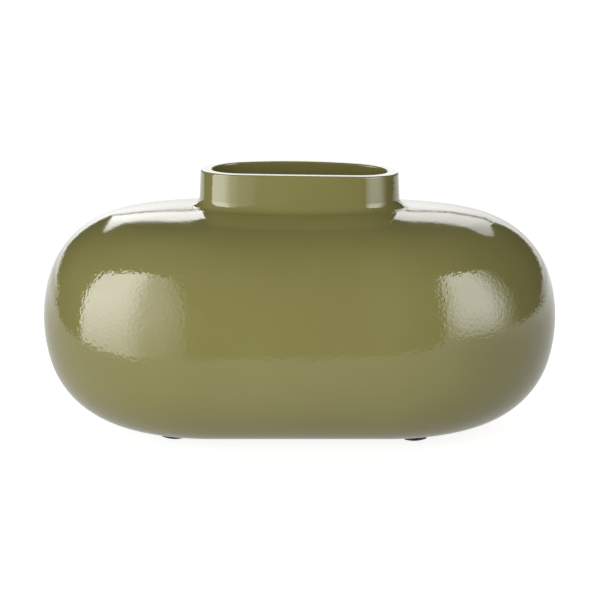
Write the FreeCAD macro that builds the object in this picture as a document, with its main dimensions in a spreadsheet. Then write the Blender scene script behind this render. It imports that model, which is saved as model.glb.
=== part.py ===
# Pillow vase: a hollow racetrack body cast in two halves, a thick collar round the mouth,
# and four rubber bumper feet stuck to the curved underside. Lengths in mm, angles in degrees.
# X runs along the body, Y from front to back, Z up. The feet stand on Z = 0, and the origin
# lies on the floor under the middle of the body.
import FreeCAD, Part

import math
import os

import Sketcher

# Driving sizes: name, value, meaning
SIZES = [
    ("body_width", 370, "body from end to end"),
    ("body_depth", 248, "body from front to back"),
    ("body_height", 161, "body from underside to crown"),
    ("crown_share", 0.57, "share of the half depth that the nearly flat crown takes up"),
    ("crown_angle", 10.4, "slope of the crown where the shoulder starts"),
    ("side_angle", 74.3, "slope of the shoulder where the side starts"),
    ("shell_wall", 5, "wall of both body halves"),
    ("seam_lap", 6, "height of the tongue inside the seam"),
    ("seam_clearance", 0.2, "gap round the tongue"),
    ("neck_width", 142, "collar from end to end at the rim"),
    ("neck_depth", 79, "collar from front to back at the rim"),
    ("neck_wall", 8.2, "wall of the collar at the rim"),
    ("neck_rise", 27.1, "rim above the crown"),
    ("neck_draft", 2.5, "lean of the collar's outside"),
    ("lip_rise", 9, "lip of the upper shell above the crown"),
    ("flare_radius", 7, "hollow round between the lip and the crown"),
    ("rim_round", 1.3, "rounding of both rim edges"),
    ("spigot_depth", 5, "collar's spigot below the lip"),
    ("spigot_clearance", 0.2, "gap round the spigot"),
    ("foot_diameter", 16, "rubber foot"),
    ("foot_height", 5, "rubber foot, free"),
    ("foot_edge", 3.6, "straight edge of the foot below its dome"),
    ("foot_squash", 0.3, "how far the dome is pressed flat by the vase's weight"),
    ("pad_thickness", 0.5, "adhesive disc"),
    ("pad_inset", 0.5, "edge of the disc inside the edge of the foot"),
    ("foot_circle", 47, "feet from the middle of each rounded end"),
    ("left_foot_angle", 51, "left feet, turned from the long axis"),
    ("right_foot_angle", 62.5, "right feet, turned from the long axis"),
    ("cut_overrun", 2, "how far a cut runs past what it cuts"),
]

# Sizes that follow from the driving ones: name, formula. The wall's outside is three arcs. The
# crown's follows from its share and slope. The runs of the shoulder's and side's arcs add up to
# side_reach and their falls to side_rise, and those two conditions give their radii.
FOLLOWING = [
    ("end_radius", "Sizes.body_depth / 2"),
    ("half_height", "Sizes.body_height / 2"),
    ("body_straight", "Sizes.body_width - Sizes.body_depth"),
    ("body_half_straight", "Derived.body_straight / 2"),
    ("crown_radius", "Derived.end_radius * Sizes.crown_share / sin(Sizes.crown_angle)"),
    ("side_reach", "Derived.end_radius * (1 - Sizes.crown_share)"),
    ("side_rise", "Derived.half_height - Derived.crown_radius * (1 - cos(Sizes.crown_angle))"),
    ("shoulder_run", "sin(Sizes.side_angle) - sin(Sizes.crown_angle)"),
    ("shoulder_fall", "cos(Sizes.crown_angle) - cos(Sizes.side_angle)"),
    ("side_run", "1 - sin(Sizes.side_angle)"),
    ("side_fall", "cos(Sizes.side_angle)"),
    ("arc_scale", "Derived.shoulder_run * Derived.side_fall - Derived.side_run * Derived.shoulder_fall"),
    ("shoulder_radius", "(Derived.side_reach * Derived.side_fall"
                        " - Derived.side_run * Derived.side_rise) / Derived.arc_scale"),
    ("side_radius", "(Derived.shoulder_run * Derived.side_rise"
                    " - Derived.shoulder_fall * Derived.side_reach) / Derived.arc_scale"),
    ("inner_crown_radius", "Derived.crown_radius - Sizes.shell_wall"),
    ("inner_shoulder_radius", "Derived.shoulder_radius - Sizes.shell_wall"),
    ("inner_side_radius", "Derived.side_radius - Sizes.shell_wall"),
    ("tongue_height", "Sizes.seam_lap"),
    ("tongue_radius", "Derived.side_radius - (Sizes.shell_wall + Sizes.seam_clearance) / 2"),
    ("rebate_height", "Sizes.seam_lap + Sizes.seam_clearance"),
    ("rebate_radius", "Derived.side_radius - (Sizes.shell_wall - Sizes.seam_clearance) / 2"),
    ("neck_straight", "Sizes.neck_width - Sizes.neck_depth"),
    ("neck_half_straight", "Derived.neck_straight / 2"),
    ("neck_radius", "Sizes.neck_depth / 2"),
    ("bore_radius", "Derived.neck_radius - Sizes.neck_wall"),
    ("spigot_radius", "Derived.bore_radius + (Sizes.neck_wall - Sizes.spigot_clearance) / 2"),
    ("seat_radius", "Derived.bore_radius + (Sizes.neck_wall + Sizes.spigot_clearance) / 2"),
    ("seat_depth", "Sizes.spigot_depth + Sizes.spigot_clearance"),
    ("collar_height", "Sizes.neck_rise - Sizes.lip_rise"),
    ("lip_radius", "Derived.neck_radius + Derived.collar_height * tan(Sizes.neck_draft)"),
    ("lip_height", "Derived.half_height + Sizes.lip_rise"),
    ("neck_drop", "Derived.crown_radius - sqrt(Derived.crown_radius ^ 2 - Derived.lip_radius ^ 2)"),
    ("lip_root", "(Derived.neck_drop + Sizes.shell_wall) / 2"),
    ("lip_depth", "Sizes.lip_rise + Derived.lip_root"),
    ("opening_depth", "Sizes.lip_rise + Derived.neck_drop + Sizes.shell_wall + Sizes.cut_overrun"),
    ("foot_radius", "Sizes.foot_diameter / 2"),
    ("adhesive_radius", "Derived.foot_radius - Sizes.pad_inset"),
    ("dome_sag", "Sizes.foot_height - Sizes.foot_edge"),
    ("dome_radius", "(Derived.foot_radius ^ 2 + Derived.dome_sag ^ 2) / (2 * Derived.dome_sag)"),
    ("foot_tilt", "asin(Sizes.foot_circle / Derived.crown_radius)"),
    ("foot_drop", "Derived.crown_radius * (1 - cos(Derived.foot_tilt))"),
    ("foot_seat", "(Sizes.pad_thickness + Sizes.foot_height) * cos(Derived.foot_tilt)"
                  " + Derived.dome_radius * (1 - cos(Derived.foot_tilt)) - Sizes.foot_squash"),
    ("floor_reach", "Derived.foot_radius + Sizes.cut_overrun"),
    ("floor_depth", "Sizes.foot_squash + Sizes.cut_overrun"),
    ("equator_height", "Derived.half_height + Derived.foot_seat - Derived.foot_drop"),
    ("collar_seat_height", "Derived.equator_height + Derived.lip_height"),
]

# The four feet: name, side of the body along X and Y, and the size that holds their angle
FEET = [
    ("front_left", -1, -1, "left_foot_angle"),
    ("front_right", 1, -1, "right_foot_angle"),
    ("rear_left", -1, 1, "left_foot_angle"),
    ("rear_right", 1, 1, "right_foot_angle"),
]

doc = FreeCAD.newDocument("PillowVase")


def make_sheet():
    """Write the driving sizes into the sheet, one row each."""
    sheet = doc.addObject("Spreadsheet::Sheet", "Sizes")
    for row, (name, amount, meaning) in enumerate(SIZES, start=1):
        sheet.set(f"A{row}", name)
        sheet.set(f"B{row}", str(amount))
        sheet.set(f"C{row}", meaning)
        sheet.setAlias(f"B{row}", name)
    doc.recompute()
    return sheet


def make_derived():
    """Hold the sizes that follow from the sheet, each as an expression."""
    derived = doc.addObject("App::VarSet", "Derived")
    for name, rule in FOLLOWING:
        derived.addProperty("App::PropertyFloat", name)
        derived.setExpression(name, rule)
    doc.recompute()
    return derived


sizes = make_sheet()
derived = make_derived()


def driven_by(name):
    """The object that holds a size: the sheet, or the set of sizes that follow from it."""
    return sizes if name in {row[0] for row in SIZES} else derived


def value(name):
    """What a size is worth now."""
    return getattr(driven_by(name), name)


def formula(name):
    """The expression that reads a size."""
    return f"{driven_by(name).Name}.{name}"


def flat(u, v):
    """A point of a sketch."""
    return FreeCAD.Vector(u, v, 0)


def new_body(name):
    """An empty body whose label names its file."""
    body = doc.addObject("PartDesign::Body", name)
    body.Label = name
    return body


def new_sketch(body, name, plane, offset=None):
    """A sketch on one of the body's own origin planes, moved by offset if one is given."""
    sketch = body.newObject("Sketcher::SketchObject", name)
    sketch.AttachmentSupport = [(origin_plane(body, plane), "")]
    sketch.MapMode = "FlatFace"
    for path, rule in (offset or {}).items():
        sketch.setExpression(path, rule)
    return sketch


def origin_plane(body, role):
    """One of the body's own origin planes."""
    return next(item for item in body.Origin.OriginFeatures if item.Role == role)


def bind(sketch, name, kind, *where):
    """Add a dimension to the sketch and bind it to a size."""
    index = sketch.addConstraint(Sketcher.Constraint(kind, *where, value(name)))
    sketch.setExpression(f"Constraints[{index}]", formula(name))


def join(sketch, *pairs):
    """Make pairs of points coincide: each is (curve, end, curve, end)."""
    for pair in pairs:
        sketch.addConstraint(Sketcher.Constraint("Coincident", *pair))


def add_arc(sketch, centre, radius, start, end):
    """An arc that runs anticlockwise between two angles in degrees."""
    circle = Part.Circle(centre, FreeCAD.Vector(0, 0, 1), radius)
    return sketch.addGeometry(Part.ArcOfCircle(circle, math.radians(start), math.radians(end)), False)


def add_line(sketch, start, end):
    """A straight line between two points."""
    return sketch.addGeometry(Part.LineSegment(start, end), False)


def polar(centre, radius, angle):
    """The point of a circle at an angle in degrees."""
    return centre + radius * flat(math.cos(math.radians(angle)), math.sin(math.radians(angle)))


# The body's wall

def draw_wall(sketch, up, step_height, step_radius):
    """Half of a section through one body half: outside, step of the seam, inside, axis.

    The outside is three arcs that touch: a wide crown, a tighter shoulder and a blunter side.
    The inside follows it one wall further in. up is 1 for the upper half and -1 for the lower.
    step_height and step_radius name the sizes of the seam's step, which splits the wall in two.
    """
    crown, shoulder, side = derived.crown_radius, derived.shoulder_radius, derived.side_radius
    wall = sizes.shell_wall
    crown_end = 90 - sizes.crown_angle
    side_end = 90 - sizes.side_angle
    crown_centre = flat(0, up * (derived.half_height - crown))
    side_centre = flat(derived.end_radius - side, 0)
    shoulder_centre = polar(crown_centre, crown - shoulder, up * crown_end)
    step_end = math.degrees(math.asin(value(step_height) / value(step_radius)))
    inner_end = math.degrees(math.asin(value(step_height) / (side - wall)))

    def arc(centre, radius, low, high):
        return add_arc(sketch, centre, radius, min(up * low, up * high), max(up * low, up * high))

    outer_crown = arc(crown_centre, crown, crown_end, 90)
    outer_shoulder = arc(shoulder_centre, shoulder, side_end, crown_end)
    outer_side = arc(side_centre, side, 0, side_end)
    ledge = add_line(sketch, polar(side_centre, side, 0), polar(side_centre, value(step_radius), 0))
    step_face = add_arc(sketch, side_centre, value(step_radius), 0, step_end)
    step_top = add_line(sketch, polar(side_centre, value(step_radius), step_end),
                        polar(side_centre, side - wall, inner_end))
    inner_side = arc(side_centre, side - wall, up * inner_end, side_end)
    inner_shoulder = arc(shoulder_centre, shoulder - wall, side_end, crown_end)
    inner_crown = arc(crown_centre, crown - wall, crown_end, 90)
    axis = add_line(sketch, polar(crown_centre, crown - wall, up * 90), polar(crown_centre, crown, up * 90))

    # Point 1 of an arc is its start and point 2 its end; the lower half is drawn mirrored
    near_axis, near_seam = (2, 1) if up > 0 else (1, 2)
    join(sketch,
         (outer_side, near_seam, ledge, 1), (ledge, 2, step_face, 1), (step_face, 2, step_top, 1),
         (step_top, 2, inner_side, near_seam), (inner_crown, near_axis, axis, 1),
         (axis, 2, outer_crown, near_axis), (inner_crown, 3, outer_crown, 3),
         (inner_side, 3, outer_side, 3), (step_face, 3, outer_side, 3))
    for first, second in ((outer_crown, outer_shoulder), (outer_shoulder, outer_side),
                          (inner_crown, inner_shoulder), (inner_shoulder, inner_side)):
        sketch.addConstraint(Sketcher.Constraint("Tangent", first, near_seam, second, near_axis))
    sketch.addConstraint([
        Sketcher.Constraint("Horizontal", ledge),
        Sketcher.Constraint("Horizontal", step_top),
        Sketcher.Constraint("PointOnObject", axis, 1, -2),
        Sketcher.Constraint("PointOnObject", axis, 2, -2),
        Sketcher.Constraint("PointOnObject", outer_crown, 3, -2),
        Sketcher.Constraint("PointOnObject", outer_side, 3, -1),
        Sketcher.Constraint("PointOnObject", outer_side, near_seam, -1),
    ])
    top = (-1, 1, outer_crown, near_axis) if up > 0 else (outer_crown, near_axis, -1, 1)
    bind(sketch, "half_height", "DistanceY", *top)
    bind(sketch, "end_radius", "DistanceX", -1, 1, outer_side, near_seam)
    bind(sketch, step_height, "DistanceY", -1, 1, step_face, 2)
    for curve, name in ((outer_crown, "crown_radius"), (inner_crown, "inner_crown_radius"),
                        (outer_shoulder, "shoulder_radius"), (inner_shoulder, "inner_shoulder_radius"),
                        (outer_side, "side_radius"), (inner_side, "inner_side_radius"),
                        (step_face, step_radius)):
        bind(sketch, name, "Radius", curve)


def sweep_racetrack(body, draw, straight):
    """Carry a half section round a racetrack: two straight sides and two half circles.

    draw puts the section into a sketch, measured from the sketch's own upright axis.
    straight names the racetrack's straight length, along X.
    """
    end_sketch = new_sketch(body, f"{body.Name}_end_section", "XZ_Plane",
                            {"AttachmentOffset.Base.x": f"{formula(straight)} / 2"})
    draw(end_sketch)
    end = body.newObject("PartDesign::Revolution", f"{body.Name}_end")
    end.Profile = end_sketch
    end.ReferenceAxis = (end_sketch, ["V_Axis"])
    end.Angle = 180
    end.Midplane = True
    side_sketch = new_sketch(body, f"{body.Name}_side_section", "YZ_Plane")
    draw(side_sketch)
    side = body.newObject("PartDesign::Pad", f"{body.Name}_side")
    side.Profile = side_sketch
    side.SideType = "Symmetric"
    side.setExpression("Length", formula(straight))
    doc.recompute()
    mirror(body, side, "XZ_Plane")
    mirror(body, end, "YZ_Plane")


def mirror(body, feature, plane):
    """Repeat a feature on the other side of one of the body's origin planes."""
    copy = body.newObject("PartDesign::Mirrored", f"{feature.Name}_mirrored")
    copy.Originals = [feature]
    copy.MirrorPlane = (origin_plane(body, plane), [""])
    body.Tip = copy
    doc.recompute()


def draw_racetrack(sketch, half_straight, radius):
    """A closed racetrack round the sketch's origin, its straight sides along X, from two sizes."""
    half = value(half_straight)
    width = value(radius)
    right = add_arc(sketch, flat(half, 0), width, -90, 90)
    left = add_arc(sketch, flat(-half, 0), width, 90, 270)
    top = add_line(sketch, flat(half, width), flat(-half, width))
    bottom = add_line(sketch, flat(-half, -width), flat(half, -width))
    for first, second in (((right, 2), (top, 1)), ((top, 2), (left, 1)),
                          ((left, 2), (bottom, 1)), ((bottom, 2), (right, 1))):
        sketch.addConstraint(Sketcher.Constraint("Tangent", *first, *second))
    sketch.addConstraint([
        Sketcher.Constraint("PointOnObject", right, 3, -1),
        Sketcher.Constraint("PointOnObject", left, 3, -1),
    ])
    bind(sketch, half_straight, "DistanceX", -1, 1, right, 3)
    bind(sketch, half_straight, "DistanceX", left, 3, -1, 1)
    bind(sketch, radius, "Radius", right)


def draw_circle(sketch, radius):
    """A circle round the sketch's origin."""
    circle = sketch.addGeometry(Part.Circle(flat(0, 0), FreeCAD.Vector(0, 0, 1), value(radius)), False)
    join(sketch, (circle, 3, -1, 1))
    bind(sketch, radius, "Radius", circle)


def cut(body, name, sketch, depth, reverse=False):
    """Cut a sketch's outline out of the body, and make sure that it took material away."""
    before = body.Shape.Volume
    pocket = body.newObject("PartDesign::Pocket", name)
    pocket.Profile = sketch
    pocket.setExpression("Length", formula(depth))
    pocket.Reversed = reverse
    doc.recompute()
    if not pocket.Shape.Volume < before:
        raise RuntimeError(f"{name} cut nothing")


def round_edges(body, name, radius, level, above):
    """Round the edges, above or below a level, of the faces that pass through that level."""
    base = body.Tip
    sides = [face for face in base.Shape.Faces if face.BoundBox.ZMin < level < face.BoundBox.ZMax]
    ends = [edge for face in sides for edge in face.Edges
            if (edge.BoundBox.ZMin > level if above else edge.BoundBox.ZMax < level)]
    found = [f"Edge{number}" for number, edge in enumerate(base.Shape.Edges, start=1)
             if any(edge.isSame(end) for end in ends)]
    fillet = body.newObject("PartDesign::Fillet", name)
    fillet.Base = (base, found)
    fillet.setExpression("Radius", formula(radius))
    doc.recompute()


def make_lower_shell():
    """The lower half of the body, with the tongue that stands up inside the seam."""
    body = new_body("lower_shell")
    sweep_racetrack(body, lambda sketch: draw_wall(sketch, -1, "tongue_height", "tongue_radius"),
                    "body_straight")
    body.setExpression("Placement.Base.z", formula("equator_height"))
    return body


def make_upper_shell():
    """The upper half of the body, with a flared lip round the opening for the collar."""
    body = new_body("upper_shell")
    sweep_racetrack(body, lambda sketch: draw_wall(sketch, 1, "rebate_height", "rebate_radius"),
                    "body_straight")
    add_lip(body)
    for name, radius, depth in (("opening", "bore_radius", "opening_depth"),
                                ("spigot_seat", "seat_radius", "seat_depth")):
        outline = new_sketch(body, f"{name}_outline", "XY_Plane",
                             {"AttachmentOffset.Base.z": formula("lip_height")})
        draw_racetrack(outline, "neck_half_straight", radius)
        cut(body, name, outline, depth)
    body.setExpression("Placement.Base.z", formula("equator_height"))
    return body


def add_lip(body):
    """A racetrack boss that widens downwards, rooted halfway into the wall, with its flare."""
    outline = new_sketch(body, "lip_outline", "XY_Plane",
                         {"AttachmentOffset.Base.z": formula("lip_height")})
    draw_racetrack(outline, "neck_half_straight", "lip_radius")
    lip = body.newObject("PartDesign::Pad", "lip")
    lip.Profile = outline
    lip.Reversed = True
    lip.setExpression("Length", formula("lip_depth"))
    lip.setExpression("TaperAngle", formula("neck_draft"))
    doc.recompute()
    round_edges(body, "flare", "flare_radius", derived.half_height + sizes.lip_rise / 2, above=False)


def draw_collar(sketch):
    """Half of a section through the collar: bore, spigot, seat, leaning outside, flat rim."""
    corners = [
        flat(derived.bore_radius, -sizes.spigot_depth),
        flat(derived.spigot_radius, -sizes.spigot_depth),
        flat(derived.spigot_radius, 0),
        flat(derived.lip_radius, 0),
        flat(derived.neck_radius, derived.collar_height),
        flat(derived.bore_radius, derived.collar_height),
    ]
    lines = [add_line(sketch, *ends) for ends in zip(corners, corners[1:] + corners[:1])]
    join(sketch, *[(line, 2, following, 1) for line, following in zip(lines, lines[1:] + lines[:1])])
    spigot_end, spigot_side, seat, outside, rim, inside = lines
    sketch.addConstraint([
        Sketcher.Constraint("Horizontal", spigot_end),
        Sketcher.Constraint("Vertical", spigot_side),
        Sketcher.Constraint("PointOnObject", seat, 1, -1),
        Sketcher.Constraint("PointOnObject", seat, 2, -1),
        Sketcher.Constraint("Horizontal", rim),
        Sketcher.Constraint("Vertical", inside),
    ])
    bind(sketch, "bore_radius", "DistanceX", -1, 1, inside, 1)
    bind(sketch, "spigot_radius", "DistanceX", -1, 1, seat, 1)
    bind(sketch, "lip_radius", "DistanceX", -1, 1, outside, 1)
    bind(sketch, "neck_radius", "DistanceX", -1, 1, rim, 1)
    bind(sketch, "collar_height", "DistanceY", -1, 1, rim, 1)
    bind(sketch, "spigot_depth", "DistanceY", spigot_end, 1, -1, 1)


def make_neck_collar():
    """The thick collar: it stands on the lip, and its spigot drops into the lip's seat."""
    body = new_body("neck_collar")
    sweep_racetrack(body, draw_collar, "neck_straight")
    round_edges(body, "rim_edges", "rim_round", derived.collar_height / 2, above=True)
    body.setExpression("Placement.Base.z", formula("collar_seat_height"))
    return body


# The feet

def place_on_underside(body, side_x, side_y, angle):
    """Set a body's frame on the underside at a foot, with its own Z out of the surface."""
    turn = f"{90 - 90 * side_x} + {side_x * side_y} * {formula(angle)}"
    reach_x = f"{side_x} * (Derived.body_half_straight + Sizes.foot_circle * cos({formula(angle)}))"
    reach_y = f"{side_y} * Sizes.foot_circle * sin({formula(angle)})"
    body.setExpression("Placement",
                       f"create(<<placement>>; create(<<vector>>; {reach_x}; {reach_y}; Derived.foot_seat);"
                       f" create(<<rotation>>; {turn}; 180 - Derived.foot_tilt; 0))")


def make_adhesive(name, side_x, side_y, angle):
    """A thin disc between the underside and the back of the foot."""
    body = new_body(f"foot_adhesive_{name}")
    outline = new_sketch(body, f"adhesive_outline_{name}", "XY_Plane")
    draw_circle(outline, "adhesive_radius")
    disc = body.newObject("PartDesign::Pad", f"adhesive_disc_{name}")
    disc.Profile = outline
    disc.setExpression("Length", formula("pad_thickness"))
    place_on_underside(body, side_x, side_y, angle)
    return body


def draw_foot(sketch):
    """Half of a section through the foot: flat back, straight edge, dome, axis."""
    back = sizes.pad_thickness
    dome_start = back + sizes.foot_edge
    tip = back + sizes.foot_height
    edge_angle = math.degrees(math.acos(derived.foot_radius / derived.dome_radius))
    rear = add_line(sketch, flat(0, back), flat(derived.foot_radius, back))
    edge = add_line(sketch, flat(derived.foot_radius, back), flat(derived.foot_radius, dome_start))
    dome = add_arc(sketch, flat(0, tip - derived.dome_radius), derived.dome_radius, edge_angle, 90)
    axis = add_line(sketch, flat(0, tip), flat(0, back))
    join(sketch, (rear, 2, edge, 1), (edge, 2, dome, 1), (dome, 2, axis, 1), (axis, 2, rear, 1))
    sketch.addConstraint([
        Sketcher.Constraint("Horizontal", rear),
        Sketcher.Constraint("Vertical", edge),
        Sketcher.Constraint("PointOnObject", dome, 3, -2),
        Sketcher.Constraint("PointOnObject", axis, 1, -2),
        Sketcher.Constraint("PointOnObject", axis, 2, -2),
    ])
    bind(sketch, "pad_thickness", "DistanceY", -1, 1, rear, 1)
    bind(sketch, "foot_radius", "DistanceX", -1, 1, edge, 1)
    bind(sketch, "foot_edge", "DistanceY", edge, 1, edge, 2)
    bind(sketch, "foot_height", "DistanceY", axis, 2, axis, 1)


def make_foot(name, side_x, side_y, angle):
    """A domed rubber foot square to the underside, pressed flat where it meets the floor."""
    body = new_body(f"foot_{name}")
    section = new_sketch(body, f"foot_section_{name}", "XZ_Plane")
    draw_foot(section)
    dome = body.newObject("PartDesign::Revolution", f"foot_dome_{name}")
    dome.Profile = section
    dome.ReferenceAxis = (section, ["V_Axis"])
    dome.Angle = 360
    doc.recompute()
    floor = new_sketch(body, f"floor_outline_{name}", "XY_Plane", {
        "AttachmentOffset": "create(<<placement>>; create(<<vector>>;"
                            " Derived.foot_seat * sin(Derived.foot_tilt); 0;"
                            " Derived.foot_seat * cos(Derived.foot_tilt));"
                            " create(<<rotation>>; 0; Derived.foot_tilt; 0))"})
    draw_circle(floor, "floor_reach")
    cut(body, f"floor_flat_{name}", floor, "floor_depth", reverse=True)
    place_on_underside(body, side_x, side_y, angle)
    return body


def check(parts):
    """Stop if any object failed or any piece is not one valid solid."""
    for item in doc.Objects:
        if {"Invalid", "Error"} & set(item.State):
            raise RuntimeError(f"{item.Name} failed: {item.State}")
    for part in parts:
        shape = part.Shape
        if shape.isNull() or not shape.isValid() or len(shape.Solids) != 1:
            raise RuntimeError(f"{part.Label} is not one valid solid")


parts = [make_lower_shell(), make_upper_shell(), make_neck_collar()]
for foot in FEET:
    parts.append(make_foot(*foot))
    parts.append(make_adhesive(*foot))
doc.recompute()
check(parts)

os.makedirs("parts", exist_ok=True)
for part in parts:
    part.Shape.exportStep(f"parts/{part.Label}.step")
    box = part.Shape.BoundBox
    print(f"{part.Label}: {part.Shape.Volume:.1f} mm3, X {box.XMin:.2f} to {box.XMax:.2f},"
          f" Y {box.YMin:.2f} to {box.YMax:.2f}, Z {box.ZMin:.2f} to {box.ZMax:.2f},"
          f" {len(part.Shape.Faces)} faces")
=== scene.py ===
import math

import bpy
import numpy as np
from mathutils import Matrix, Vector


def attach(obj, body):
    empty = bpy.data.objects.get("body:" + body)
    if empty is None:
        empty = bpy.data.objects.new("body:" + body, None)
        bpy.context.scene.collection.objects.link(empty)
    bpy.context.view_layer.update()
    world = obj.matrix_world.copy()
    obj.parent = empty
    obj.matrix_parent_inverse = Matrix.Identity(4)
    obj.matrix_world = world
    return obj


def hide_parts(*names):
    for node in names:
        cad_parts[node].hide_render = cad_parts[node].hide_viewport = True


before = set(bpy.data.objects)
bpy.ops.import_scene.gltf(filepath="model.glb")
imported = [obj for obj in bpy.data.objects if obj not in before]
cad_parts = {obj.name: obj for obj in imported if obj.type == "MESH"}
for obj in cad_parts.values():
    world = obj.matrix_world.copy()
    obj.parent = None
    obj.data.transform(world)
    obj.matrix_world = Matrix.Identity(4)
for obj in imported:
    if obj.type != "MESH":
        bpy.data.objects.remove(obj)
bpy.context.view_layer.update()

# The camera
# It stands straight in front of the vase, about 1.6 metres off, and looks slightly down on it.
# The small shifts set the vase where the photograph has it.
equator = 0.082999
camera_distance = 1.5985
camera_fall = math.radians(12.26)
camera_data = bpy.data.cameras.new("camera")
camera_data.lens = 132
camera_data.sensor_width = 36
camera_data.shift_x = 0.4 / 600
camera_data.shift_y = 14.4 / 600
camera = bpy.data.objects.new("camera", camera_data)
camera.location = (
    0,
    -camera_distance * math.cos(camera_fall),
    equator + camera_distance * math.sin(camera_fall),
)
camera.rotation_euler = (math.pi / 2 - camera_fall, 0, 0)
bpy.context.scene.collection.objects.link(camera)
bpy.context.scene.camera = camera
bpy.context.scene.view_settings.view_transform = "Standard"


# The lacquer
# Olive gloss paint over cast aluminium, sprayed thick enough to lie in an orange peel of small
# waves. It has flowed nearly flat on the level crown and stands in stronger waves on the sides.
class Shade:
    """A value or colour in a material. Operators on it add Math nodes, and add makes any other."""

    def __init__(self, tree, socket):
        self.tree = tree
        self.socket = socket

    @staticmethod
    def start(tree, kind, output, **settings):
        """The named output of a new node that takes nothing in."""
        node = tree.nodes.new(kind)
        for name, amount in settings.items():
            setattr(node, name, amount)
        return Shade(tree, node.outputs[output])

    def add(self, kind, settings, inputs, output=0):
        """A new node's output: its type, its settings, then its sockets' values and links."""
        node = self.tree.nodes.new(kind)
        for name, amount in settings.items():
            setattr(node, name, amount)
        for name, amount in inputs.items():
            if isinstance(amount, Shade):
                self.tree.links.new(amount.socket, node.inputs[name])
            else:
                node.inputs[name].default_value = amount
        return Shade(self.tree, node.outputs[output] if node.outputs else None)

    def calculate(self, operation, first, second):
        return self.add("ShaderNodeMath", {"operation": operation}, {0: first, 1: second})

    def __add__(self, other):
        return self.calculate("ADD", self, other)

    def __radd__(self, other):
        return self.calculate("ADD", other, self)

    def __sub__(self, other):
        return self.calculate("SUBTRACT", self, other)

    def __rsub__(self, other):
        return self.calculate("SUBTRACT", other, self)

    def __mul__(self, other):
        return self.calculate("MULTIPLY", self, other)

    def __rmul__(self, other):
        return self.calculate("MULTIPLY", other, self)

    def smooth(self, low, high, floor, top):
        """floor below low and top above high, with a soft step between."""
        return self.add(
            "ShaderNodeMapRange", {"interpolation_type": "SMOOTHSTEP"},
            {"Value": self, "From Min": low, "From Max": high, "To Min": floor, "To Max": top},
        )

    def noise(self, scale, detail, roughness=0.5):
        """Cloudy noise from 0 to 1 at this many cells a metre."""
        return self.add(
            "ShaderNodeTexNoise", {},
            {"Vector": self, "Scale": scale, "Detail": detail, "Roughness": roughness},
        )

    def blend(self, first, second):
        """first where this is 0 and second where it is 1."""
        return self.add(
            "ShaderNodeMix", {"data_type": "RGBA"}, {"Factor": self, 6: first, 7: second}, 2,
        )

    def bump(self, distance):
        """A normal from this height, which is worth that many metres."""
        return self.add(
            "ShaderNodeBump", {}, {"Height": self, "Strength": 1, "Distance": distance},
        )


def new_material(name):
    """An empty material, and the place on the object that its textures start from."""
    material = bpy.data.materials.new(name)
    material.use_nodes = True
    tree = material.node_tree
    tree.nodes.clear()
    return material, Shade.start(tree, "ShaderNodeTexCoord", "Object")


def finish_material(shader):
    """Lead a shader to the material's output."""
    shader.add("ShaderNodeOutputMaterial", {}, {"Surface": shader})


lacquer_olive = (0.236, 0.219, 0.075, 1)
lacquer_deep = (0.226, 0.208, 0.069, 1)
lacquer, place = new_material("olive_lacquer")
peel = place.noise(400, 1.0)
swell = place.noise(90, 0.5)
upright_share = place.add("ShaderNodeSeparateXYZ", {}, {0: place}, "Z").smooth(0.130, 0.152, 1.0, 0.22)
tint = place.noise(14, 2.0).smooth(0.35, 0.65, 0, 1)
finish_material(place.add(
    "ShaderNodeBsdfPrincipled", {},
    {
        "Base Color": tint.blend(lacquer_olive, lacquer_deep),
        "Roughness": place.noise(40, 2.0).smooth(0.3, 0.7, 0.07, 0.10),
        "IOR": 1.5,
        "Normal": ((peel * 0.6 + swell * 0.4 - 0.5) * upright_share).bump(0.00025),
    },
))


# The two body halves
# Cast aluminium with one wall all round, joined at the equator by the lower half's tongue in the
# upper half's step. Outside, three touching arcs go round a racetrack: a wide crown, a tighter
# shoulder and a blunter side.
body_half_straight = 0.061
half_height = 0.0805
wall = 0.005
tongue_height = 0.006
seam_clearance = 0.0002
crown_slope = math.radians(10.4)
shoulder_slope = math.radians(74.3)
end_radius = 0.124
crown_share = 0.57
crown_radius = end_radius * crown_share / math.sin(crown_slope)
crown_centre = half_height - crown_radius
# The shoulder and the side have the two radii that lead from the crown's edge to the equator
shoulder_radius, side_radius = np.linalg.solve(
    [
        [math.sin(shoulder_slope) - math.sin(crown_slope), 1 - math.sin(shoulder_slope)],
        [math.cos(crown_slope) - math.cos(shoulder_slope), math.cos(shoulder_slope)],
    ],
    [end_radius * (1 - crown_share), crown_centre + crown_radius * math.cos(crown_slope)],
)
side_centre = end_radius - side_radius
shoulder_centre = (crown_radius - shoulder_radius) * math.sin(crown_slope)
shoulder_level = crown_centre + (crown_radius - shoulder_radius) * math.cos(crown_slope)
turn_places = 130
run_places = 40

neck_lean = math.radians(2.5)
lip_level = 0.172499
rim_level = 0.190599
rim_radius = 0.0395
bore_radius = 0.0313
seat_radius = 0.0355
spigot_radius = 0.0353
spigot_depth = 0.005
lip_radius = rim_radius + (rim_level - lip_level) * math.tan(neck_lean)

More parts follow.
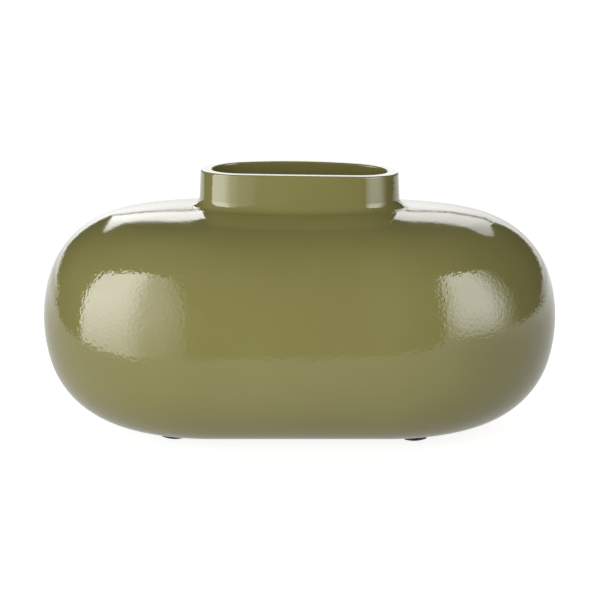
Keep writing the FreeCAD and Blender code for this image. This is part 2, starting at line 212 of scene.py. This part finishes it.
# Both tracks go round in the same four parts: the right end, the rear side, the left end and the
# front side. A track holds its base points and the outward direction at each of them.
parts = [turn_places, run_places, turn_places, run_places]
end_side = np.repeat([1, 0, -1, 0], parts)
long_side = np.repeat([0, 1, 0, -1], parts)
end_turns = np.linspace(-np.pi / 2, np.pi / 2, turn_places, endpoint=False)
body_turns = np.concatenate([
    end_turns, np.full(run_places, np.pi / 2), end_turns + np.pi, np.full(run_places, -np.pi / 2),
])
body_run = np.linspace(1, -1, run_places, endpoint=False)
body_share = np.concatenate([np.ones(turn_places), body_run, -np.ones(turn_places), -body_run])
body_track = (
    np.stack([body_half_straight * body_share, 0 * body_share], axis=1),
    np.stack([np.cos(body_turns), np.sin(body_turns)], axis=1),
)
# The collar's long sides bow out a little: long arcs, which touch the arcs of its ends
neck_end_middle = 0.035
neck_side_middle = 0.173
neck_end_trim = math.hypot(neck_end_middle, neck_side_middle) - neck_side_middle
neck_join = math.atan2(neck_side_middle, neck_end_middle)
neck_turns = np.concatenate([
    np.linspace(-neck_join, neck_join, turn_places, endpoint=False),
    np.linspace(neck_join, np.pi - neck_join, run_places, endpoint=False),
    np.linspace(np.pi - neck_join, np.pi + neck_join, turn_places, endpoint=False),
    np.linspace(np.pi + neck_join, 2 * np.pi - neck_join, run_places, endpoint=False),
])
neck_outward = np.stack([np.cos(neck_turns), np.sin(neck_turns)], axis=1)
neck_track = (
    np.stack([neck_end_middle * end_side, -neck_side_middle * long_side], axis=1)
    + np.where(long_side == 0, -neck_end_trim, neck_side_middle)[:, None] * neck_outward,
    neck_outward,
)


def carry(track, radius, level, slope):
    """Rows of a profile carried round a track, and their normals.

    A point lies at the track's base point plus the radius along the outward direction there, at
    its level. Its normal leans outward from up by the slope.
    """
    base, outward = track
    radius, level, slope = (
        np.asarray(item, dtype=float)[:, None] for item in np.broadcast_arrays(radius, level, slope)
    )
    across = base[:, 0] + radius * outward[:, 0]
    along = base[:, 1] + radius * outward[:, 1]
    points = np.stack([across, along, level + 0 * across], axis=2)
    normals = np.stack([
        np.sin(slope) * outward[:, 0],
        np.sin(slope) * outward[:, 1],
        np.cos(slope) + 0 * across,
    ], axis=2)
    return points, normals


def arc(centre, level, radius, first, last, count, inside=False):
    """An arc of the body's wall from one slope to another: radius about its centre."""
    slope = np.linspace(first, last, count)
    return carry(
        body_track, centre + radius * np.sin(slope), level + radius * np.cos(slope),
        slope + np.pi * inside,
    )


def flat(track, first, last, level, up):
    """A level ring between two radii, facing up or down."""
    return carry(track, np.linspace(first, last, 3), level, 0 if up else np.pi)


def upright(track, radius, first, last, count, outside):
    """An upright wall between two levels, facing outward or inward."""
    return carry(
        track, radius, np.linspace(first, last, count), np.pi / 2 if outside else -np.pi / 2,
    )


# A hand-finished casting isn't quite true: the upper half leans to the right by a third of a
# degree, the collar by half a degree more, and the two ends of its rim hang a little.
body_lean = 0.0055
collar_lean = 0.0090
rim_hang = 0.0016
rim_reach = 0.071
rim_margin = 0.00017
crown_level = equator + half_height
# In front of the collar and behind it the crown is fuller than its arc
crown_lift = 0.0030


def soft_step(level, low, high):
    """A soft step from 0 to 1 between two levels, and its slope."""
    part = np.clip((level - low) / (high - low), 0, 1)
    return part * part * (3 - 2 * part), 6 * part * (1 - part) / (high - low)


def settle(points, normals):
    """Lean, hang and lift the upper parts: each point rises by an amount that depends on its place.

    The normals turn with the surface, by the slope of that rise along each axis.
    """
    across, along, level = np.moveaxis(points, -1, 0)
    body_step, body_rate = soft_step(level, equator, crown_level)
    neck_step, neck_rate = soft_step(level, crown_level - 0.002, rim_level)
    end_share = across / rim_reach
    neck_drop = collar_lean * across + rim_hang * end_share**2 + rim_margin
    neck_tilt = collar_lean + 2 * rim_hang * end_share / rim_reach
    near_x, near_x_rate = soft_step(-np.abs(across), -0.080, -0.045)
    near_y, near_y_rate = soft_step(-np.abs(along), -0.088, -0.045)
    crown_step, crown_rate = soft_step(level, crown_level - 0.018, crown_level - 0.006)
    neck_left, neck_left_rate = soft_step(-level, -rim_level, -crown_level)
    lift = crown_lift * near_x * near_y * crown_step * neck_left
    lift_x = -crown_lift * np.sign(across) * near_x_rate * near_y * crown_step * neck_left
    lift_y = -crown_lift * np.sign(along) * near_x * near_y_rate * crown_step * neck_left
    lift_z = crown_lift * near_x * near_y * (crown_rate * neck_left - crown_step * neck_left_rate)
    rise = lift - body_lean * across * body_step - neck_drop * neck_step
    rise_x = lift_x - body_lean * body_step - neck_tilt * neck_step
    stretch = 1 + lift_z - body_lean * across * body_rate - neck_drop * neck_rate
    moved = points + np.stack([0 * rise, 0 * rise, rise], axis=-1)
    turned = np.stack([
        normals[..., 0] - normals[..., 2] * rise_x / stretch,
        normals[..., 1] - normals[..., 2] * lift_y / stretch,
        normals[..., 2] / stretch,
    ], axis=-1)
    return moved, turned / np.linalg.norm(turned, axis=-1, keepdims=True)


def make_piece(name, strips, material):
    """A closed piece from strips of quads, each a grid of points and a grid of normals.

    Neighbouring strips share a row, and places that coincide become one vertex, so the loops
    and poles close. A quad with a repeated corner becomes a triangle.
    """
    points = np.concatenate([strip[0].reshape(-1, 3) for strip in strips])
    normals = np.concatenate([strip[1].reshape(-1, 3) for strip in strips])
    corners = []
    offset = 0
    for grid, _ in strips:
        rows, places = grid.shape[:2]
        index = offset + np.arange(rows * places).reshape(rows, places)
        following = np.roll(index, -1, axis=1)
        corners.append(np.stack(
            [index[:-1], index[1:], following[1:], following[:-1]], axis=2,
        ).reshape(-1, 4))
        offset += rows * places
    corners = np.concatenate(corners)
    _, first, vertex = np.unique(
        np.round(points * 1e6 + 0.31).astype(np.int64), axis=0, return_index=True, return_inverse=True,
    )
    vertex = vertex.reshape(-1)
    quads = vertex[corners]
    keep = quads != np.roll(quads, -1, axis=1)
    solid = keep.sum(axis=1) > 2
    keep &= solid[:, None]
    sizes = keep.sum(axis=1)[solid]
    loops = quads[keep]
    mesh = bpy.data.meshes.new(name)
    mesh.vertices.add(len(first))
    mesh.vertices.foreach_set("co", points[first].ravel())
    mesh.loops.add(len(loops))
    mesh.loops.foreach_set("vertex_index", loops)
    mesh.polygons.add(len(sizes))
    mesh.polygons.foreach_set("loop_start", np.concatenate([[0], np.cumsum(sizes)[:-1]]))
    mesh.polygons.foreach_set("use_smooth", np.ones(len(sizes), dtype=bool))
    mesh.update(calc_edges=True)
    mesh.normals_split_custom_set(normals[corners][keep].tolist())
    mesh.materials.append(material)
    piece = bpy.data.objects.new(name, mesh)
    bpy.context.scene.collection.objects.link(piece)
    return piece


tongue_radius = side_radius - (wall + seam_clearance) / 2
tongue_slope = math.acos(tongue_height / tongue_radius)
tongue_inner_slope = math.acos(tongue_height / (side_radius - wall))
half_turn = math.pi
lower_strips = [
    flat(body_track, side_centre + tongue_radius, end_radius, equator, up=True),
    arc(side_centre, equator, side_radius, half_turn / 2, half_turn - shoulder_slope, 10),
    arc(shoulder_centre, equator - shoulder_level, shoulder_radius,
        half_turn - shoulder_slope, half_turn - crown_slope, 40),
    arc(0, equator - crown_centre, crown_radius, half_turn - crown_slope, half_turn, 14),
    arc(0, equator - crown_centre, crown_radius - wall, half_turn, half_turn - crown_slope, 12, True),
    arc(shoulder_centre, equator - shoulder_level, shoulder_radius - wall,
        half_turn - crown_slope, half_turn - shoulder_slope, 30, True),
    arc(side_centre, equator, side_radius - wall, half_turn - shoulder_slope, tongue_inner_slope,
        12, True),
    flat(body_track, side_centre + (side_radius - wall) * math.sin(tongue_inner_slope),
         side_centre + tongue_radius * math.sin(tongue_slope), equator + tongue_height, up=True),
    arc(side_centre, equator, tongue_radius, tongue_slope, half_turn / 2, 4),
]
lower_shell = make_piece("lower_shell_skin", [settle(*strip) for strip in lower_strips], lacquer)
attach(lower_shell, "root")
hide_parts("lower_shell")


def off_spine(plan):
    """From the nearest point of the body's middle line to each point of a plan."""
    on_line = np.clip(plan[..., 0], -body_half_straight, body_half_straight)
    return plan - np.stack([on_line, 0 * on_line], axis=-1)


def bridge(first, last, rows):
    """Rows that run straight from one row of points to another."""
    part = np.linspace(0, 1, rows)[:, None, None]
    return first * (1 - part) + last * part


def dome(plan, radius):
    """A plan lifted onto the crown's arc of this radius, and the arc's outward normals."""
    from_spine = off_spine(plan)
    rise = np.sqrt(radius**2 - (from_spine**2).sum(axis=-1))[..., None]
    return (
        np.concatenate([plan, equator + crown_centre + rise], axis=-1),
        np.concatenate([from_spine, rise], axis=-1) / radius,
    )


# The flare between the lip and the crown is the path of a ball that rolls on both. Its centre
# lies one ball radius off the lip's leaning side and one off the body's crown.
flare_radius = 0.007
neck_base = neck_track[0]
ball_level = np.full(len(neck_base), crown_level + flare_radius)
for _ in range(12):
    lip_reach = rim_radius + (rim_level - ball_level) * math.tan(neck_lean)
    ball_reach = lip_reach + flare_radius / math.cos(neck_lean)
    ball = neck_base + neck_outward * ball_reach[:, None]
    from_spine = off_spine(ball)
    ball_level = equator + crown_centre + np.sqrt(
        (crown_radius + flare_radius)**2 - (from_spine**2).sum(axis=-1)
    )
ball = np.column_stack([ball, ball_level])
to_lip = np.column_stack([
    neck_outward * math.cos(neck_lean), np.full(len(neck_base), math.sin(neck_lean)),
])
to_crown = np.column_stack([
    from_spine, ball_level - equator - crown_centre,
]) / (crown_radius + flare_radius)
swing = np.arccos((to_lip * to_crown).sum(axis=1))[:, None]
step = np.linspace(0, 1, 12)[:, None, None]
flare_normals = (
    np.sin((1 - step) * swing) * to_lip + np.sin(step * swing) * to_crown
) / np.sin(swing)
flare = (ball - flare_radius * flare_normals, flare_normals)

lip_top = carry(neck_track, np.array([lip_radius]), lip_level, 0)[0][0]
lip_side = (bridge(lip_top, flare[0][0], 5), np.broadcast_to(to_lip, (5, len(to_lip), 3)))

# The crown runs from the flare's foot to where the shoulder starts, and under it the ceiling runs
# back in to the opening, whose wall stands up to the collar's seat
crown_edge = carry(body_track, np.array([end_radius * crown_share]), equator, 0)[0][0]
crown = dome(bridge(flare[0][-1], crown_edge, 14)[..., :2], crown_radius)

ceiling_edge = carry(
    body_track, np.array([(crown_radius - wall) * math.sin(crown_slope)]), equator, 0,
)[0][0]
seat_level = lip_level - spigot_depth - seam_clearance
bore_top = carry(neck_track, np.array([bore_radius]), seat_level, 0)[0][0]
ceiling_points, ceiling_up = dome(bridge(ceiling_edge, bore_top, 12)[..., :2], crown_radius - wall)
ceiling = (ceiling_points, -ceiling_up)
opening_inward = np.column_stack([-neck_outward, np.zeros(len(neck_outward))])
opening = (
    bridge(ceiling_points[-1], bore_top, 5), np.broadcast_to(opening_inward, (5, len(to_lip), 3)),
)

rebate_radius = side_radius - (wall - seam_clearance) / 2
rebate_height = tongue_height + seam_clearance
rebate_slope = math.acos(rebate_height / rebate_radius)
rebate_inner_slope = math.acos(rebate_height / (side_radius - wall))
upper_strips = [
    flat(neck_track, seat_radius, lip_radius, lip_level, up=True),
    lip_side,
    flare,
    crown,
    arc(shoulder_centre, equator + shoulder_level, shoulder_radius, crown_slope, shoulder_slope, 40),
    arc(side_centre, equator, side_radius, shoulder_slope, half_turn / 2, 10),
    flat(body_track, end_radius, side_centre + rebate_radius, equator, up=False),
    arc(side_centre, equator, rebate_radius, half_turn / 2, rebate_slope, 4, True),
    flat(body_track, side_centre + rebate_radius * math.sin(rebate_slope),
         side_centre + (side_radius - wall) * math.sin(rebate_inner_slope),
         equator + rebate_height, up=False),
    arc(side_centre, equator, side_radius - wall, rebate_inner_slope, shoulder_slope, 10, True),
    arc(shoulder_centre, equator + shoulder_level, shoulder_radius - wall, shoulder_slope,
        crown_slope, 30, True),
    ceiling,
    opening,
    flat(neck_track, bore_radius, seat_radius, seat_level, up=True),
    upright(neck_track, seat_radius, seat_level, lip_level, 3, outside=False),
]
upper_shell = make_piece("upper_shell_skin", [settle(*strip) for strip in upper_strips], lacquer)
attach(upper_shell, "root")
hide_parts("upper_shell")


# The collar
# A thick cast ring that narrows slightly upwards and stands on the lip. Its spigot drops into
# the lip's seat. Both edges of the flat rim are rounded, and it wears the body's lacquer.
rim_round = 0.0013
spigot_level = lip_level - spigot_depth


def rim_edge(centre_radius, first, last):
    """The rounded edge of the rim, from one slope to another about the line at its middle."""
    slope = np.linspace(first, last, 9)
    return carry(
        neck_track, centre_radius + rim_round * np.sin(slope),
        rim_level - rim_round + rim_round * np.cos(slope), slope,
    )


side_slope = math.pi / 2 - neck_lean
outer_round = rim_radius - rim_round * (1 - math.sin(neck_lean)) / math.cos(neck_lean)
inner_round = bore_radius + rim_round
side_top_level = rim_level - rim_round + rim_round * math.cos(side_slope)
side_top = outer_round + rim_round * math.sin(side_slope)
side_rows = np.linspace(side_top_level, lip_level, 8)
collar_strips = [
    flat(neck_track, inner_round, outer_round, rim_level, up=True),
    rim_edge(outer_round, 0, side_slope),
    carry(neck_track, np.linspace(side_top, lip_radius, 8), side_rows, side_slope),
    flat(neck_track, lip_radius, spigot_radius, lip_level, up=False),
    upright(neck_track, spigot_radius, lip_level, spigot_level, 3, outside=True),
    flat(neck_track, spigot_radius, bore_radius, spigot_level, up=False),
    upright(neck_track, bore_radius, spigot_level, rim_level - rim_round, 8, outside=False),
    rim_edge(inner_round, -math.pi / 2, 0),
]
collar = make_piece("neck_collar_skin", [settle(*strip) for strip in collar_strips], lacquer)
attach(collar, "root")
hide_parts("neck_collar")


# The four feet
# Domed bumpers of black rubber, square to the curved underside, each pressed flat where it
# meets the floor, on a thin disc of black adhesive.
rubber, place = new_material("foot_rubber")
grain = place.noise(2200, 2.0)
dust = place.noise(260, 3.0).smooth(0.55, 0.75, 0, 1)
finish_material(place.add(
    "ShaderNodeBsdfPrincipled", {},
    {
        "Base Color": dust.blend((0.012, 0.012, 0.012, 1), (0.022, 0.021, 0.019, 1)),
        "Roughness": grain.smooth(0.3, 0.7, 0.42, 0.58),
        "IOR": 1.5,
        "Normal": grain.bump(0.00003),
    },
))
adhesive, place = new_material("foot_adhesive")
fibre = place.noise(3000, 2.0)
finish_material(place.add(
    "ShaderNodeBsdfPrincipled", {},
    {
        "Base Color": fibre.blend((0.022, 0.022, 0.022, 1), (0.038, 0.037, 0.036, 1)),
        "Roughness": 0.85,
        "Normal": fibre.bump(0.00002),
    },
))

foot_circle = 0.047
foot_tilt = math.asin(foot_circle / crown_radius)
foot_seat = 0.005330
foot_radius = 0.008
foot_back = 0.0005
dome_start = foot_back + 0.0036
foot_tip = foot_back + 0.005
dome_sag = foot_tip - dome_start
dome_radius = (foot_radius**2 + dome_sag**2) / (2 * dome_sag)
dome_edge = math.asin(foot_radius / dome_radius)
foot_turn = np.linspace(0, 2 * np.pi, 72, endpoint=False)[:, None]
dome_slope = np.linspace(0, dome_edge, 20)
# The dome from its tip, the straight edge and the flat back: radius round the foot's own axis,
# reach along it, and the slope of the normal from it
foot_profiles = [
    (dome_radius * np.sin(dome_slope), foot_tip - dome_radius * (1 - np.cos(dome_slope)), dome_slope),
    (np.full(3, foot_radius), np.linspace(dome_start, foot_back, 3), np.full(3, np.pi / 2)),
    (np.linspace(foot_radius, 0, 3), np.full(3, foot_back), np.full(3, np.pi)),
]


def make_foot(name, side_x, side_y, angle):
    """A domed foot turned about its own axis, its dome clipped at the floor.

    A point lies at its radius round the axis, at its reach from the body along the axis. Below
    the floor it is set on it.
    """
    heading = math.atan2(side_y * math.sin(angle), side_x * math.cos(angle))
    axis = np.array([
        math.sin(foot_tilt) * math.cos(heading), math.sin(foot_tilt) * math.sin(heading),
        -math.cos(foot_tilt),
    ])
    sideways = np.array([-math.sin(heading), math.cos(heading), 0])
    around = np.cos(foot_turn) * sideways + np.sin(foot_turn) * np.cross(axis, sideways)
    centre = np.array([
        side_x * (body_half_straight + foot_circle * math.cos(angle)),
        side_y * foot_circle * math.sin(angle),
        foot_seat,
    ])
    strips = []
    for radius, reach, slope in foot_profiles:
        points = centre + radius[:, None, None] * around + reach[:, None, None] * axis
        normals = np.sin(slope)[:, None, None] * around + np.cos(slope)[:, None, None] * axis
        pressed = points[..., 2] < 0
        points[pressed, 2] = 0
        normals[pressed] = (0, 0, -1)
        strips.append((points, normals))
    foot = make_piece(f"foot_{name}_skin", strips, rubber)
    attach(foot, "root")
    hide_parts(f"foot_{name}")
    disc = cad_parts[f"foot_adhesive_{name}"]
    disc.data.materials.clear()
    disc.data.materials.append(adhesive)


make_foot("front_left", -1, -1, math.radians(51))
make_foot("front_right", 1, -1, math.radians(62.5))
make_foot("rear_left", -1, 1, math.radians(51))
make_foot("rear_right", 1, 1, math.radians(62.5))


# The table and the white behind it
# A white sheet under the vase keeps its shadow, and in the gloss it also carries a painted shadow
# of the vase: it glows less near the vase. A card and a strip stand upright behind it and show
# only in the gloss.
def make_stage(name, points, material):
    """A grid of points as a new object in the scene, with its own rows and columns as UV."""
    rows, columns = points.shape[:2]
    index = np.arange(rows * columns).reshape(rows, columns)
    quads = np.stack(
        [index[:-1, :-1], index[:-1, 1:], index[1:, 1:], index[1:, :-1]], axis=2,
    ).reshape(-1, 4)
    mesh = bpy.data.meshes.new(name)
    mesh.from_pydata(points.reshape(-1, 3).tolist(), [], quads.tolist())
    layer = mesh.uv_layers.new(name="UVMap")
    row, column = np.divmod(quads.ravel(), columns)
    layer.data.foreach_set(
        "uv", np.stack([column / (columns - 1), row / (rows - 1)], axis=1).ravel(),
    )
    mesh.polygons.foreach_set("use_smooth", np.ones(len(quads), dtype=bool))
    mesh.materials.append(material)
    stage = bpy.data.objects.new(name, mesh)
    bpy.context.scene.collection.objects.link(stage)
    return stage


def show_only_in_gloss(stage):
    """Keep an object out of sight, out of the diffuse light and out of the shadows."""
    stage.visible_camera = False
    stage.visible_diffuse = False
    stage.visible_transmission = False
    stage.visible_volume_scatter = False
    stage.visible_shadow = False


table_white, place = new_material("table_white")
seen = Shade.start(table_white.node_tree, "ShaderNodeLightPath", "Is Camera Ray")
glossy = Shade.start(table_white.node_tree, "ShaderNodeLightPath", "Is Glossy Ray")
through = Shade.start(table_white.node_tree, "ShaderNodeLightPath", "Is Transmission Ray")
# Painted shadow: in the gloss the table glows less near the vase and more further out, as if the vase
# shaded it.
away = place.add("ShaderNodeVectorMath", {"operation": "LENGTH"}, {0: place}, "Value")
glow = (seen + through) * 0.72 + glossy * away.smooth(0.25, 1.2, 0.33, 0.85) + 0.15
finish_material(place.add("ShaderNodeAddShader", {}, {
    0: place.add("ShaderNodeEmission", {}, {"Color": (1, 1, 1, 1), "Strength": glow}),
    1: place.add("ShaderNodeBsdfDiffuse", {}, {"Color": (0.5, 0.5, 0.5, 1)}),
}))
# The table's edge, from its back left corner round the front and the right back home
table_edge = np.array([
    (-1.60, 1.60), (-1.05, 0.60), (-0.745, 0.32), (-0.575, 0.06), (-0.54, -0.02), (-0.49, -0.095),
    (-0.43, -0.15), (-0.36, -0.205), (-0.31, -0.24), (-0.26, -0.29), (-0.16, -0.36), (-0.05, -0.378),
    (0.03, -0.392), (0.12, -0.455), (0.23, -0.50), (0.32, -0.555), (0.42, -0.61), (0.75, -0.90),
    (1.25, -0.95), (1.40, 0.10), (1.45, 1.60), (-1.60, 1.60),
])
table_middle = np.array([0.05, 0.6])
table_plan = np.stack([0 * table_edge + table_middle, table_edge])
make_stage("table", np.concatenate([table_plan, 0 * table_plan[..., :1]], axis=2), table_white)

# Behind the table a card of the same white, with a dark slit and a brighter strip above it
card_y = 1.6
card_x = np.linspace(-2.4, 2.4, 140)
slit_level = np.interp(
    card_x,
    [-2.4, -1.5, -1.23, -0.86, -0.79, -0.72, -0.57, -0.46, -0.40, -0.30,
     -0.19, 0.0, 0.19, 0.30, 0.40, 0.50, 0.78, 1.19, 2.4],
    [0.0, 0.20, 0.28, 0.28, 0.345, 0.38, 0.425, 0.415, 0.395, 0.50,
     0.585, 0.63, 0.57, 0.46, 0.455, 0.54, 0.33, 0.22, 0.0],
)
card_rows = np.linspace(0, 1, 8)[:, None]
card_white, place = new_material("card_white")
sheet = Shade.start(card_white.node_tree, "ShaderNodeUVMap", 0)
card_across = sheet.add("ShaderNodeSeparateXYZ", {}, {0: sheet}, "X")
card_up = sheet.add("ShaderNodeSeparateXYZ", {}, {0: sheet}, "Y")
card_glow = card_up.smooth(0.1, 0.9, 1.1, 2.1) * card_across.smooth(0.535, 0.575, 1.0, 0.8)
finish_material(place.add(
    "ShaderNodeEmission", {}, {"Color": (1, 1, 1, 1), "Strength": card_glow},
))
card = make_stage("rear_card", np.stack([
    card_x + 0 * card_rows, card_y + 0 * card_x + 0 * card_rows, slit_level * card_rows,
], axis=2), card_white)
show_only_in_gloss(card)

strip_x = np.linspace(-0.91, 1.0, 90)
strip_white, place = new_material("strip_white")
sheet = Shade.start(strip_white.node_tree, "ShaderNodeUVMap", 0)
strip_across = sheet.add("ShaderNodeSeparateXYZ", {}, {0: sheet}, "X")
finish_material(place.add(
    "ShaderNodeEmission", {},
    {"Color": (1, 1, 1, 1), "Strength": strip_across.smooth(0.4, 0.78, 3.0, 1.7)},
))
strip_low = np.interp(strip_x, card_x, slit_level) + 0.05
strip_low = np.maximum(strip_low, np.interp(
    strip_x, [-0.91, -0.68, -0.51, -0.40, 0.50, 0.57, 0.68, 0.83, 1.0],
    [1.093, 0.852, 0.641, 0.456, 0.50, 0.725, 0.857, 1.033, 1.235],
))
strip_high = np.interp(
    strip_x,
    [-0.91, -0.82, -0.73, -0.63, -0.52, -0.43, -0.37, -0.33, -0.26,
     0.0, 0.24, 0.30, 0.37, 0.54, 0.78, 0.91, 1.0],
    [1.10, 1.065, 1.028, 0.962, 0.869, 0.78, 0.754, 0.802, 0.90,
     0.92, 0.865, 0.84, 0.827, 1.038, 1.275, 1.297, 1.245],
)
strip = make_stage("rear_strip", np.stack([
    strip_x + 0 * card_rows, card_y + 0 * strip_x + 0 * card_rows,
    strip_low + (strip_high - strip_low) * card_rows,
], axis=2), strip_white)
show_only_in_gloss(strip)


# The light
# Two big softboxes, left and right of the camera, draw the gloss on the sides. A soft lamp from
# the front left and an even white surround light the colour.
panel_distance = 2.5


def make_panel(name, bearing, low, high, swerve, radiance):
    """A softbox bent round the vase: rows of directions from its lower to its upper edge.

    bearing holds the direction of each column, from straight in front towards the right, low
    and high the height of its two edges above the horizon, and swerve how far each column turns
    towards its top, all in degrees. It shows at a ray's first reflection only.
    """
    share_up = np.linspace(0, 1, 24)[:, None]
    height = np.radians(low + (high - low) * share_up)
    turn = np.radians(bearing + swerve * share_up**4)
    points = panel_distance * np.stack([
        np.cos(height) * np.sin(turn), -np.cos(height) * np.cos(turn), np.sin(height),
    ], axis=2) + np.array([0, 0, equator])
    material, start = new_material(f"{name}_light")
    sheet = Shade.start(material.node_tree, "ShaderNodeUVMap", 0)
    across = sheet.add("ShaderNodeSeparateXYZ", {}, {0: sheet}, "X")
    up = sheet.add("ShaderNodeSeparateXYZ", {}, {0: sheet}, "Y")
    depth = Shade.start(material.node_tree, "ShaderNodeLightPath", "Glossy Depth")
    once = depth.smooth(1.4, 1.6, 1, 0)
    finish_material(start.add(
        "ShaderNodeEmission", {}, {"Color": (1, 1, 1, 1), "Strength": radiance(across, up) * once},
    ))
    panel = make_stage(name, points, material)
    show_only_in_gloss(panel)


left_bearing = np.linspace(-95, -18.5, 40)
make_panel(
    "left_softbox", left_bearing, np.full(40, -22.0),
    np.interp(left_bearing, [-95, -86, -75, -62, -50, -18], [32, 38.5, 43.5, 48.5, 51, 53]),
    np.linspace(0, -18, 40),
    lambda across, up: (
        across.smooth(0.40, 0.72, 8.6, 2.9) * across.smooth(0.72, 1.0, 1.0, 0.42)
        * across.smooth(0.0, 0.3, 0.86, 1.0) * up.smooth(0.0, 0.6, 0.45, 1.0)
    ),
)
right_bearing = np.linspace(38.3, 94, 40)
make_panel(
    "right_softbox", right_bearing, np.full(40, -12.0),
    np.interp(right_bearing, [38, 56, 69, 83, 94], [51.5, 50.5, 47, 43.5, 39.5]),
    np.linspace(14, 3, 40),
    lambda across, up: (
        across.smooth(-0.05, 0.28, 0.3, 1.0) * across.smooth(0.55, 1.0, 1.0, 0.1)
        * up.smooth(0.0, 0.45, 1.8, 7.0)
    ),
)

lamp_data = bpy.data.lights.new("front_left_lamp", "AREA")
lamp_data.shape = "DISK"
lamp_data.size = 1.1
lamp_data.energy = 16
lamp = bpy.data.objects.new("front_left_lamp", lamp_data)
lamp_bearing = math.radians(-27)
lamp_height = math.radians(6)
lamp_distance = 1.6
lamp.location = (
    lamp_distance * math.cos(lamp_height) * math.sin(lamp_bearing),
    -lamp_distance * math.cos(lamp_height) * math.cos(lamp_bearing),
    equator + lamp_distance * math.sin(lamp_height),
)
away_from_vase = Vector(lamp.location) - Vector((0, 0, equator))
lamp.rotation_euler = away_from_vase.to_track_quat("Z", "Y").to_euler()
lamp.visible_glossy = False
lamp.visible_camera = False
bpy.context.scene.collection.objects.link(lamp)

world = bpy.data.worlds.new("studio")
world.use_nodes = True
world.node_tree.nodes.clear()
ray = Shade.start(world.node_tree, "ShaderNodeLightPath", "Is Camera Ray")
in_gloss = Shade.start(world.node_tree, "ShaderNodeLightPath", "Is Glossy Ray")
in_glass = Shade.start(world.node_tree, "ShaderNodeLightPath", "Is Transmission Ray")
surround = 0.52
dark_room = 0.03
strength = (ray + in_glass) * (1 - surround) + in_gloss * (dark_room - surround) + surround
background = ray.add(
    "ShaderNodeBackground", {}, {"Color": (1, 1, 1, 1), "Strength": strength},
)
background.add("ShaderNodeOutputWorld", {}, {"Surface": background})
bpy.context.scene.world = world
